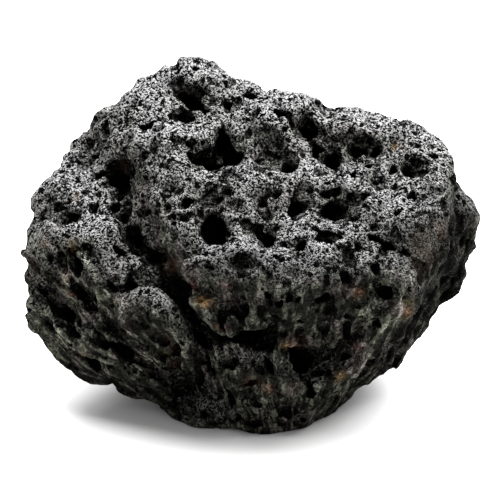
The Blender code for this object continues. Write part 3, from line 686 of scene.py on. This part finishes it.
def raise_streaks(distance, broad, box):
    """Raises sharp ridges on the sides, which run towards where the skin was drawn."""
    chosen = np.argwhere(np.abs(distance) < STREAK_BAND)
    away = box.low + VOXEL * chosen - DRAWN_TO
    far = np.linalg.norm(away, axis=1, keepdims=True)
    steep = np.clip(STREAK_STEEP - STREAK_LEVEL * normals_at(broad, chosen)[:, 2], 0, 1)
    raised = 0
    for layer, (apart, length, height) in enumerate(STREAKS):
        draw = np.random.default_rng(STREAK_SEED + layer)
        lattice = draw.uniform(-1, 1, (STREAK_LATTICE,) * 3)
        places = away / far * STREAK_SPREAD / apart + far / length + STREAK_LATTICE / 2
        whole = np.floor(places)
        part = places - whole
        values = sample(lattice, whole + part**2 * (3 - 2 * part))
        raised = raised + height * (STREAK_CREST - STREAK_FALL * np.abs(values))
    distance[tuple(chosen.T)] -= (steep * raised).astype(np.float32)


def cut_cells(distance, box, cells, seed, share=1):
    """Works the surface into round cells, with sharp crests between them."""
    for layer, (wavelength, height) in enumerate(cells):
        crests = np.abs(noise(box, wavelength, seed + layer)) - CELL_LEVEL
        distance += height * share * crests


def cut_pores(distance, box, share):
    """Cuts ragged pores, up to a depth."""
    pores = sum(
        part * noise(box, wavelength, PORE_SEED + layer)
        for layer, (wavelength, part) in enumerate(PORE_LAYERS)
    )
    distance += PORE_DEPTH * share * np.clip(pores - PORE_THRESHOLD, 0, PORE_FLOOR)


def worked_surface(node):
    """The box, and the signed distance from the rock with all that is worked into it."""
    box, distance = solid_distance(node)
    distance = blur(distance, FACET_BLUR) - SWELLING
    unworked = distance.copy()
    broad = blur(distance, SLOPE_REACH)
    warps = warp_fields(box)
    for layer, (wavelength, height) in enumerate(LUMPS):
        distance += height * noise(box, wavelength, LUMP_SEED + layer)
    raise_crests(distance, broad, box, warps)
    strew(distance, broad, box, warps, CUP_SEED, **CUPS)
    cut_cells(distance, box, CELLS, CELL_SEED)
    raise_streaks(distance, broad, box)
    cut_hollows(distance, broad, box, warps)
    upward = np.clip(UPWARD_GAIN * np.gradient(broad, VOXEL, axis=2), LEAST_UPWARD, 1)
    cut_cells(distance, box, FINE_CELLS, FINE_CELL_SEED, upward)
    cut_pores(distance, box, upward)
    strew(distance, broad, box, warps, BUBBLE_SEED, **BUBBLES)
    filled = blur((distance < 0).astype(np.float32), THIN_REACH)
    distance = np.maximum(distance, (THIN_SHARE - filled) * THIN_REACH)
    heights = box.along(2)[None, None, :]
    distance = unworked + (distance - unworked) * np.clip(heights / KEPT_FOOT, 0, 1)
    distance = np.maximum(distance, -heights).astype(np.float32)
    return box, distance


def mesh_of(box, distance, name):
    """The surface where the distance is 0, as a mesh in metres."""
    grid = openvdb.FloatGrid()
    grid.copyFromArray(distance)
    points, quads = grid.convertToQuads(isovalue=0.0)
    points = (points * VOXEL + box.low) * MM
    mesh = bpy.data.meshes.new(name)
    mesh.from_pydata(points.tolist(), [], quads.tolist())
    mesh.update()
    return mesh


def keep_largest(obj):
    """Deletes crumbs that the cutting has set loose."""
    shape = bmesh.new()
    shape.from_mesh(obj.data)
    shape.verts.ensure_lookup_table()
    seen = np.zeros(len(shape.verts), bool)
    groups = []
    for vertex in shape.verts:
        if seen[vertex.index]:
            continue
        group = [vertex]
        seen[vertex.index] = True
        for other in group:
            for edge in other.link_edges:
                near = edge.other_vert(other)
                if not seen[near.index]:
                    seen[near.index] = True
                    group.append(near)
        groups.append(group)
    groups.sort(key=len)
    loose = [vertex for group in groups[:-1] for vertex in group]
    bmesh.ops.delete(shape, geom=loose, context="VERTS")
    shape.to_mesh(obj.data)
    shape.free()


def apply_modifiers(obj):
    graph = bpy.context.evaluated_depsgraph_get()
    made = bpy.data.meshes.new_from_object(obj.evaluated_get(graph))
    obj.modifiers.clear()
    obj.data = made


def in_oval(across, up, oval_across, oval_up, width, height):
    """1 in the middle of an oval, falling off smoothly past its edge."""
    sideways = (across - oval_across) / (width / 2)
    upwards = (up - oval_up) / (height / 2)
    return np.exp(-(sideways**2 + upwards**2))


def stain_colours(across, up, shown):
    """The colour of the stains at each vertex, and in its last channel how strong they are."""
    colours = np.zeros((len(across), 4))
    for *oval, strength, colour in STAINS:
        amount = strength * in_oval(across, up, *oval) * shown
        colours[:, :3] += amount[:, None] * colour
        colours[:, 3] += amount
    colours[:, :3] /= colours[:, 3:] + 1e-6
    return np.clip(colours, 0, 1)


def patch_shade_at(across, up, near):
    """By what share each vertex is dimmer in the patches of painted shade, which fade out on the far side.
    """
    kept = np.ones(len(across))
    for *oval, dimmer in SHADE_PATCHES:
        kept *= 1 - dimmer * in_oval(across, up, *oval)
    return (1 - kept) * np.clip((near + SHADE_PATCH_END) / SHADE_PATCH_FADE, 0, 1)


def directions_around(count):
    """Directions spread evenly over a sphere."""
    steps = np.arange(count) + 0.5
    heights = 1 - 2 * steps / count
    turns = steps * math.pi * (3 - math.sqrt(5))
    level = np.sqrt(1 - heights**2)
    return np.stack([level * np.cos(turns), level * np.sin(turns), heights], axis=1)


def openness(box, distance, points, normals):
    """How much of what each place faces is free of rock nearby, from 0 to 1."""
    solid = distance < 0
    starts = box.index(points + normals * SIGHT_START)
    top = np.array(box.shape) - 1
    seen = np.zeros(len(points))
    whole = np.zeros(len(points))
    for direction in directions_around(SIGHT_LINES):
        faces = np.clip(normals @ direction, 0, None)
        free = faces > 0
        for step in SIGHT_STEPS:
            x, y, z = np.clip(np.round(starts + direction * step / VOXEL).astype(int), 0, top).T
            free &= ~solid[x, y, z]
        seen += faces * free
        whole += faces
    return seen / whole


def drawn_places(points):
    """Each place as a direction from where the skin was drawn to, and in its last channel how far off."""
    away = points - DRAWN_TO
    far = np.linalg.norm(away, axis=1, keepdims=True)
    return np.concatenate([away / far * STREAK_SPREAD, far], axis=1) * MM


def save_values(mesh, name, values):
    """Keeps a number or a colour for each vertex, for the material to read."""
    kind, field = ("FLOAT", "value") if values.ndim == 1 else ("FLOAT_COLOR", "color")
    layer = mesh.attributes.new(name, kind, "POINT")
    layer.data.foreach_set(field, values.astype(np.float32).ravel())


def mark(mesh, box, distance):
    """Saves on the rock's vertices what its material needs to know of the shape around them."""
    points = vertex_vectors(mesh, "co") / MM
    places = box.index(points)
    across, up, near = show_coordinates(points)
    broad = blur(distance, SLOPE_REACH)
    slope = np.gradient(broad, VOXEL, axis=2)
    shown = np.clip(SHOWN_GAIN * (normals_at(broad, places) @ NEAR) - SHOWN_START, 0, 1)
    # What is saved here drives painted light and shade: how open a place is, the shade in the hollows; how
    # far up it faces, the light on the top and the shade down the sides; the patches, wide shade.
    save_values(mesh, "open", openness(box, distance, points, vertex_vectors(mesh, "normal")))
    save_values(mesh, "facing_up", np.clip(sample(slope, places), -1, 1))
    save_values(mesh, "stain", stain_colours(across, up, shown))
    save_values(mesh, "patch_shade", patch_shade_at(across, up, near))
    save_values(mesh, "worn", crest_heights(WORN_CRESTS, across, up) * shown)
    save_values(mesh, "drawn", drawn_places(points))


def make_rock():
    box, distance = worked_surface(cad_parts[NODE])
    rock = bpy.data.objects.new("rock", mesh_of(box, distance, "rock"))
    bpy.context.scene.collection.objects.link(rock)
    keep_largest(rock)
    fewer = rock.modifiers.new("fewer", "DECIMATE")
    fewer.ratio = MOST_TRIANGLES / (2 * len(rock.data.polygons))
    apply_modifiers(rock)
    rock.data.shade_smooth()
    mark(rock.data, box, distance)
    return rock


class Shading:
    """Adds nodes to a material and links them."""

    def __init__(self, name):
        self.material = bpy.data.materials.new(name)
        self.material.use_nodes = True
        self.nodes = self.material.node_tree.nodes
        self.links = self.material.node_tree.links
        self.shader = self.nodes["Principled BSDF"]
        self.places = self.nodes.new("ShaderNodeTexCoord").outputs["Object"]

    def plug(self, socket, value):
        """Links the value to the socket, or sets it there if it is constant."""
        if isinstance(value, bpy.types.NodeSocket):
            self.links.new(value, socket)
        else:
            socket.default_value = value

    def saved(self, name, output="Fac"):
        """What was saved on the vertices under the name."""
        attribute = self.nodes.new("ShaderNodeAttribute")
        attribute.attribute_name = name
        return attribute.outputs[output]

    def maths(self, operation, first, second):
        made = self.nodes.new("ShaderNodeMath")
        made.operation = operation
        self.plug(made.inputs[0], first)
        self.plug(made.inputs[1], second)
        return made.outputs["Value"]

    def product(self, first, *others):
        for other in others:
            first = self.maths("MULTIPLY", first, other)
        return first

    def fit(self, value, low, high, least=0.0, most=1.0):
        """The value stretched so that low to high becomes least to most, and held there."""
        ranged = self.nodes.new("ShaderNodeMapRange")
        self.plug(ranged.inputs["Value"], value)
        self.plug(ranged.inputs["From Min"], low)
        self.plug(ranged.inputs["From Max"], high)
        self.plug(ranged.inputs["To Min"], least)
        self.plug(ranged.inputs["To Max"], most)
        return ranged.outputs["Result"]

    def blend(self, amount, first, second, kind="FLOAT"):
        """The first number where the amount is 0, the second where it is 1."""
        made = self.nodes.new("ShaderNodeMix")
        made.data_type = kind
        self.plug(made.inputs["Factor"], amount)
        self.plug(made.inputs["A"], first)
        self.plug(made.inputs["B"], second)
        return made.outputs["Result"]

    def mix(self, amount, first, second):
        """The first colour where the amount is 0, the second where it is 1."""
        return self.blend(amount, first, second, "RGBA")

    def noise(self, size, detail, roughness=0.5, distortion=0.0, seed=0.0):
        """Noise of a size in millimetres, in the rock's own coordinates."""
        texture = self.nodes.new("ShaderNodeTexNoise")
        texture.noise_dimensions = "4D"
        self.plug(texture.inputs["Vector"], self.places)
        self.plug(texture.inputs["W"], seed)
        self.plug(texture.inputs["Scale"], 1 / (size * MM))
        self.plug(texture.inputs["Detail"], detail)
        self.plug(texture.inputs["Roughness"], roughness)
        self.plug(texture.inputs["Distortion"], distortion)
        return texture.outputs["Fac"]

    def strands(self, size, stretch, detail):
        """Noise of a size in millimetres, stretched towards where the skin was drawn."""
        texture = self.nodes.new("ShaderNodeTexNoise")
        texture.noise_dimensions = "4D"
        self.plug(texture.inputs["Vector"], self.saved("drawn", "Vector"))
        self.plug(texture.inputs["W"], self.maths("DIVIDE", self.saved("drawn", "Alpha"), stretch))
        self.plug(texture.inputs["Scale"], 1 / (size * MM))
        self.plug(texture.inputs["Detail"], detail)
        return texture.outputs["Fac"]

    def pores(self, spacing, widest, ragged):
        """0 in pores of many sizes, up to the widest share of the spacing, and 1 between them."""
        texture = self.nodes.new("ShaderNodeTexVoronoi")
        self.plug(texture.inputs["Vector"], self.places)
        self.plug(texture.inputs["Scale"], 1 / (spacing * MM))
        radius = self.product(self.fit(texture.outputs["Color"], *PORE_SIZES), widest)
        distance = self.maths("ADD", texture.outputs["Distance"], ragged)
        return self.fit(self.maths("SUBTRACT", distance, radius), *PORE_EDGE)

    def bump(self, height, depth):
        """A bump of a depth in millimetres."""
        made = self.nodes.new("ShaderNodeBump")
        self.plug(made.inputs["Strength"], 1.0)
        self.plug(made.inputs["Height"], height)
        self.plug(made.inputs["Distance"], depth * MM)
        return made.outputs["Normal"]


def skin_flecks(shading, grit, strands):
    """How bright the skin is, from fine grit, wider blotches and long strands."""
    blotches = shading.noise(BLOTCH_SIZE, detail=4.0, roughness=0.7, distortion=0.6, seed=8.0)
    return shading.product(
        shading.fit(grit, *SKIN_GRIT, *SKIN_FLECKS),
        shading.fit(blotches, *BLOTCH_RANGE, *BLOTCH_FLECKS),
        strands,
    )


def painted_light_share(shading, facing_up):
    """Painted light and shade on the flecks: bright on what faces up, painted shade down the sides and
    underneath, a little brighter along the worn crests, and painted shade in the wide patches.
    """
    worn = shading.fit(shading.saved("worn"), *WORN_HEIGHTS, 0.0, WORN_SHARE)
    sides = shading.fit(facing_up, *SIDE_SHADE_FACING, UNDERSIDE_SHADE_SHARE, SKIN_SHADE_SHARE)
    share = shading.fit(facing_up, *TOP_LIGHT_FACING, shading.maths("ADD", sides, worn), 1.0)
    return shading.product(share, shading.maths("SUBTRACT", 1.0, shading.saved("patch_shade")))


def painted_hollow_shade(shading, crust_and_top_light, ragged):
    """Painted shade in the hollows: 0 deep in them and 1 in the open, which the crust reaches sooner than
    the skin.
    """
    return shading.fit(
        shading.maths("ADD", shading.saved("open"), ragged),
        shading.blend(crust_and_top_light, *OPEN_FROM),
        shading.blend(crust_and_top_light, *OPEN_TO),
    )


def bright_colour(shading, crust_and_top_light):
    """Grey on the crust, and olive and rose by turns on the skin."""
    tint = shading.noise(TINT_SIZE, detail=2.0, roughness=0.6, distortion=0.3, seed=6.0)
    skin = shading.mix(shading.fit(tint, *TINT_RANGE), OLIVE_SKIN, ROSE_SKIN)
    return shading.mix(crust_and_top_light, skin, GRAIN_AND_GLINT)


def stained(shading, colour):
    """The colour with the stains over it, in specks."""
    specks = shading.noise(STAIN_SPECK_SIZE, detail=2.0, roughness=0.6, distortion=0.3, seed=5.0)
    specks = shading.fit(specks, *SPECK_RANGE, *STAIN_SPECKS)
    strength = shading.product(shading.saved("stain", "Alpha"), specks)
    return shading.mix(strength, colour, shading.saved("stain", "Color"))


def stone():
    """Near-black glassy basalt: a crust in painted top light on what faces up, a skin in painted shade
    down the sides, painted shade in the hollows, pores and wide patches, and stains.
    """
    shading = Shading("basalt")
    facing_up = shading.saved("facing_up")
    crust_and_top_light = shading.fit(facing_up, *CRUST_AND_LIGHT_FACING)
    grit = shading.noise(GRIT_SIZE, detail=1.0, roughness=0.7, distortion=0.5)
    ragged = shading.noise(RAGGED_SIZE, detail=1.0)
    ragged = shading.fit(ragged, *RAGGED_RANGE, -RAGGED, RAGGED)
    pores = shading.pores(PORE_SPACING, shading.blend(crust_and_top_light, *WIDEST_PORES), ragged)
    strands = shading.strands(STRAND_SIZE, STRAND_STRETCH, detail=3.0)
    strands = shading.fit(strands, *STRAND_RANGE, *STRAND_FLECKS)
    skin = skin_flecks(shading, grit, strands)
    # The pores darken the flecks as painted shade in small pits, and the amount takes on the painted light
    # on the top and the painted shade down the sides, in the wide patches and in the hollows.
    flecks = shading.product(shading.blend(crust_and_top_light, skin, shading.fit(grit, *CRUST_GRIT)), pores)
    amount = shading.product(
        flecks, painted_light_share(shading, facing_up), painted_hollow_shade(shading, crust_and_top_light, ragged)
    )
    amount = shading.maths("POWER", amount, CONTRAST)
    colour = shading.mix(amount, DARK_STONE, bright_colour(shading, crust_and_top_light))
    gloss = shading.product(shading.blend(crust_and_top_light, *GLOSS), shading.fit(amount, 0.0, GLOSSY_FROM))
    grain = shading.product(
        shading.fit(grit, *BUMP_GRIT), shading.fit(pores, 0.0, 1.0, *PORE_BUMP)
    )
    height = shading.blend(crust_and_top_light, shading.maths("ADD", grain, strands), grain)
    inputs = shading.shader.inputs
    shading.plug(inputs["Base Color"], stained(shading, colour))
    shading.plug(inputs["Specular IOR Level"], gloss)
    shading.plug(inputs["Roughness"], shading.fit(flecks, 0.0, 1.0, *ROUGHNESS))
    shading.plug(inputs["Normal"], shading.bump(height, BUMP_DEPTH))
    return shading.material


def make_floor():
    half = FLOOR_HALF
    corners = [(-half, -half, 0), (half, -half, 0), (half, half, 0), (-half, half, 0)]
    mesh = bpy.data.meshes.new("floor")
    mesh.from_pydata(corners, [], [(0, 1, 2, 3)])
    floor = bpy.data.objects.new("floor", mesh)
    bpy.context.scene.collection.objects.link(floor)
    material = bpy.data.materials.new("floor")
    material.use_nodes = True
    shader = material.node_tree.nodes["Principled BSDF"]
    shader.inputs["Base Color"].default_value = FLOOR_COLOUR
    shader.inputs["Roughness"].default_value = FLOOR_ROUGHNESS
    mesh.materials.append(material)
    return floor


def make_sky():
    world = bpy.data.worlds.new("studio")
    bpy.context.scene.world = world
    world.use_nodes = True
    background = world.node_tree.nodes["Background"]
    background.inputs["Color"].default_value = SKY_COLOUR
    background.inputs["Strength"].default_value = SKY_STRENGTH


def make_lamp():
    light = bpy.data.lights.new("top", "AREA")
    light.shape = "SQUARE"
    light.size = LAMP_SIZE
    light.energy = LAMP_WATTS
    lamp = bpy.data.objects.new("top", light)
    lamp.location = LAMP_PLACE
    towards_it = Vector(LAMP_PLACE) - Vector(LAMP_AIM)
    lamp.rotation_euler = towards_it.to_track_quat("Z", "Y").to_euler()
    bpy.context.scene.collection.objects.link(lamp)


def make_camera():
    camera = bpy.data.cameras.new("camera")
    camera.sensor_width = SENSOR_WIDTH
    camera.lens = SENSOR_WIDTH * CAMERA_DISTANCE / (IMAGE_WIDTH / PIXELS_PER_METRE)
    camera.shift_y = -SHIFT_PIXELS / IMAGE_WIDTH
    seen_from = Vector(NEAR)
    holder = bpy.data.objects.new("camera", camera)
    holder.location = Vector(MIDDLE) * MM + seen_from * CAMERA_DISTANCE
    holder.rotation_euler = seen_from.to_track_quat("Z", "Y").to_euler()
    bpy.context.scene.collection.objects.link(holder)
    bpy.context.scene.camera = holder


rock = make_rock()
rock.data.materials.append(stone())
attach(rock, "root")
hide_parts(NODE)
floor = make_floor()
make_sky()
make_lamp()
make_camera()
bpy.context.scene.view_settings.view_transform = "Standard"
